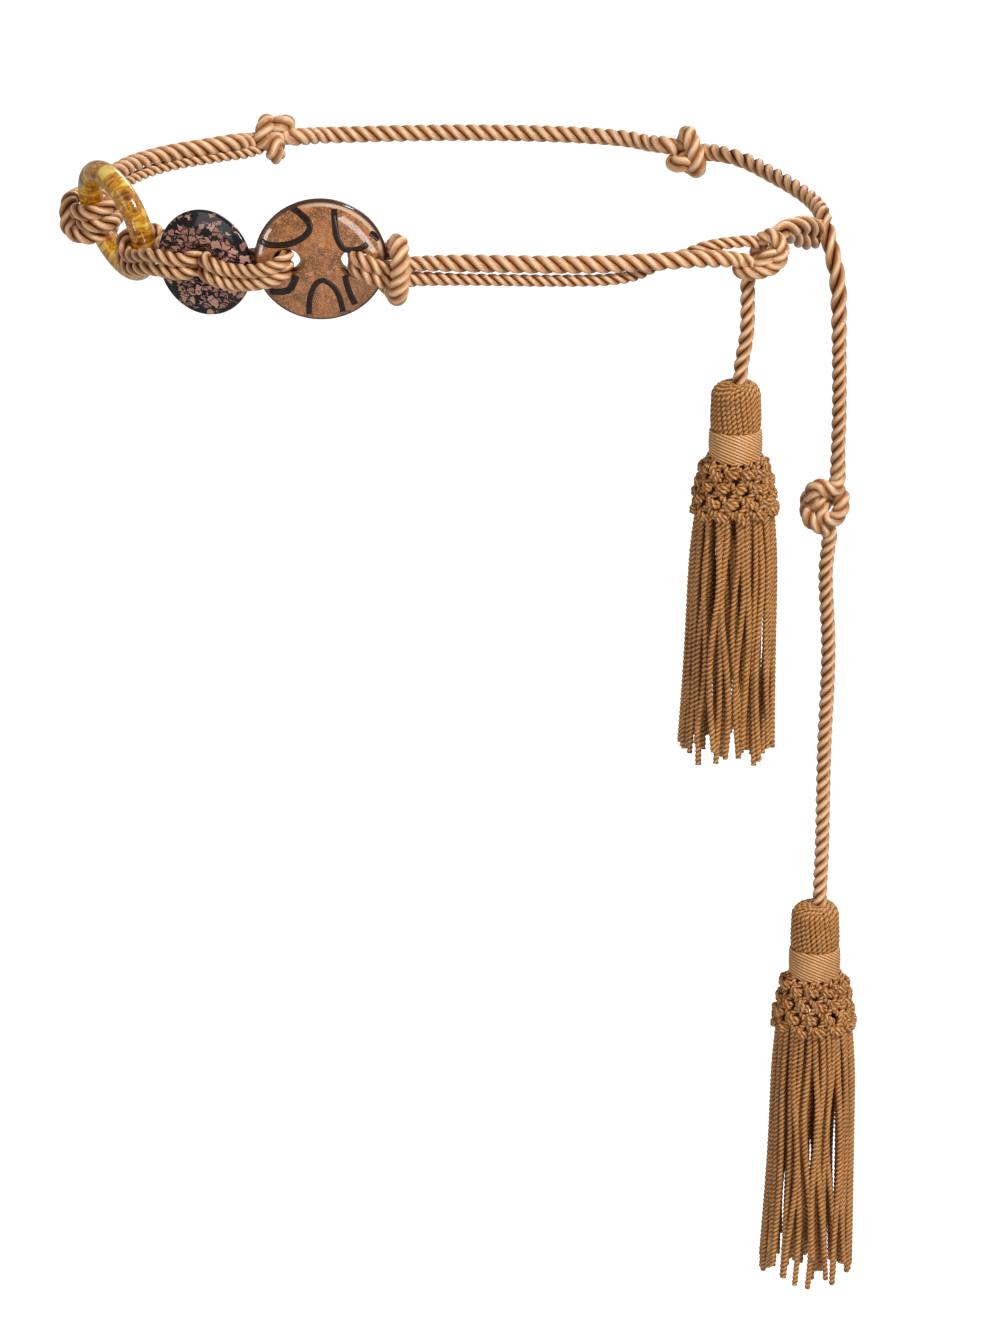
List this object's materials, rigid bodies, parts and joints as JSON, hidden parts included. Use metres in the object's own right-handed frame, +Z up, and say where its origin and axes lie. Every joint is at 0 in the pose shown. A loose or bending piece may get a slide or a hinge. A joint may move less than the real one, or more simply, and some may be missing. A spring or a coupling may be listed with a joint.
{
  "type": "rope belt",
  "caption": "Twisted satin rope belt in its worn loop, joined in front by a glass ring and glass discs, with knotted hanging ends that carry tassels.",
  "frame": {"origin": "the middle of the waist loop, at the height of the rope's centre line", "axes": "+Z up, -Y to the wearer's front, +X to the wearer's left, where both ends hang"},
  "size_m": [0.29, 0.2032, 0.4379],
  "materials": {
    "rope": "satin",
    "tassel_thread": "satin",
    "amber_glass": "gloss",
    "speckled_glass": "gloss",
    "copper_glass": "gloss"
  },
  "bodies": {
    "root": {"ring_hitch": "rope", "back_left_thick_strand": "rope", "back_left_thin_strand": "rope", "back_left_knot": "rope", "back_rope": "rope", "back_right_knot": "rope", "side_rope": "rope", "end_bight": "rope", "front_right_knot": "rope", "front_thick_strand": "rope", "front_thin_strand": "rope", "disc_hitch": "rope", "disc_link_upper": "rope", "disc_link_lower": "rope", "ring_link_upper": "rope", "ring_link_lower": "rope", "glass_ring": "amber_glass", "speckled_disc": "speckled_glass", "patterned_disc": "copper_glass", "short_hanging_rope": "rope", "long_hanging_rope_upper": "rope", "hanging_knot": "rope", "long_hanging_rope_lower": "rope", "short_tassel_head": "tassel_thread", "short_tassel_band": "tassel_thread", "short_tassel_net": "tassel_thread", "short_tassel_skirt": "tassel_thread", "long_tassel_head": "tassel_thread", "long_tassel_band": "tassel_thread", "long_tassel_net": "tassel_thread", "long_tassel_skirt": "tassel_thread"}
  },
  "joints": []
}
